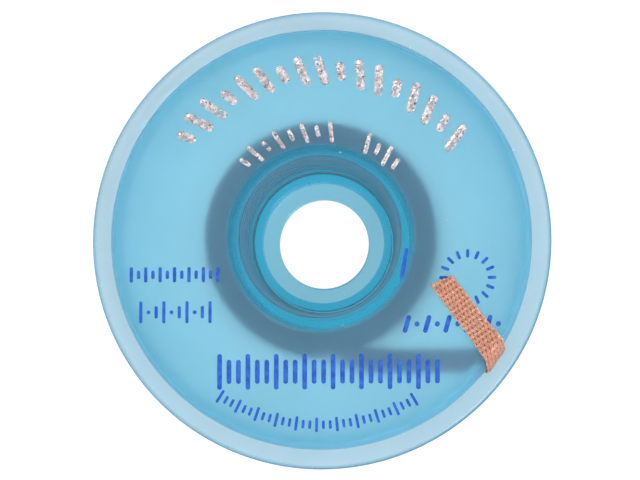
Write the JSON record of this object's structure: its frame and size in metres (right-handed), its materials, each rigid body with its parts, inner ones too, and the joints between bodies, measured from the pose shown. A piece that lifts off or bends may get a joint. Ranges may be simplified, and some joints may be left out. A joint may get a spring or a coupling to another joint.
{
  "type": "bobbin of copper desoldering braid",
  "caption": "Flat woven copper desoldering braid wound in a translucent blue two-part dispensing bobbin, free end folded over the rim.",
  "frame": {"origin": "centre of the bottom of the bounding box: where the bobbin's axis meets the plane of its flat base", "axes": "+Z along the bobbin's axis, out of its face; +X to the right and +Y up in the picture"},
  "size_m": [0.048, 0.048, 0.0107],
  "materials": {
    "rear_plastic": "translucent blue moulded plastic, lightly frosted",
    "front_plastic": "translucent blue moulded plastic, lightly frosted, with plain silver foil and blue ink marks on its face",
    "copper": null
  },
  "bodies": {
    "root": {"rear_half": "rear_plastic", "front_half": "front_plastic", "copper_braid": "copper"}
  },
  "joints": []
}
